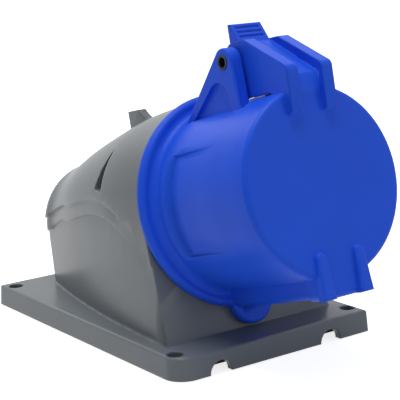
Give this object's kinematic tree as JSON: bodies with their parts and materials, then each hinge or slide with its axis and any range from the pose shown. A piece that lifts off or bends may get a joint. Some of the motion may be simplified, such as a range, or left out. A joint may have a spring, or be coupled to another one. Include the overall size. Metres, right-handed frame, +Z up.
{
  "type": "pin and sleeve receptacle",
  "caption": "Inclined industrial power receptacle: grey mounting housing, blue sleeve with a spring-closed hinged lid, and a slotted-tube contact insert behind it",
  "frame": {"origin": "middle of the mounting plate's underside", "axes": "+Z up out of the panel, -Y to the front where the lid faces, +X to the right seen from behind the lid's front"},
  "size_m": [0.094, 0.1849, 0.1276],
  "materials": {
    "housing": "fine moulded grey, slightly satin",
    "collar": "moulded blue, slightly satin",
    "lid": "moulded blue, slightly satin",
    "hinge_pin": "drawn steel tube",
    "lid_spring": "spring wire",
    "lid_gasket": "matte rubber",
    "collar_gasket": "matte rubber",
    "mount_gasket": "matte rubber",
    "carrier_seal": "matte rubber",
    "contact_carrier": "moulded dark grey",
    "carrier_back": "moulded dark grey",
    "contact_line": "turned brass",
    "contact_neutral": "turned brass",
    "contact_earth": "turned brass",
    "clip_line": "spring steel strip",
    "clip_neutral": "spring steel strip",
    "clip_earth": "spring steel strip",
    "collar_screws": "zinc plated",
    "carrier_screws": "zinc plated",
    "carrier_back_screws": "zinc plated",
    "terminal_screws": "zinc plated"
  },
  "bodies": {
    "base": {"housing": "housing", "collar": "collar", "hinge_pin": "hinge_pin", "lid_spring": "lid_spring", "collar_gasket": "collar_gasket", "mount_gasket": "mount_gasket", "carrier_seal": "carrier_seal", "contact_carrier": "contact_carrier", "carrier_back": "carrier_back", "contact_line": "contact_line", "contact_neutral": "contact_neutral", "contact_earth": "contact_earth", "clip_line": "clip_line", "clip_neutral": "clip_neutral", "clip_earth": "clip_earth", "collar_screws": "collar_screws", "carrier_screws": "carrier_screws", "carrier_back_screws": "carrier_back_screws", "terminal_screws": "terminal_screws"},
    "lid": {"lid": "lid", "lid_gasket": "lid_gasket"}
  },
  "joints": [
    {"name": "lid_hinge", "type": "hinge", "parent": "base", "child": "lid", "pos_m": [0, -0.06544, 0.11491], "axis": [-1, 0, 0], "range_deg": [0, 110], "stiffness_Nm_per_rad": 0.05, "springref_deg": -17.19, "deforming": ["lid_spring"]}
  ]
}
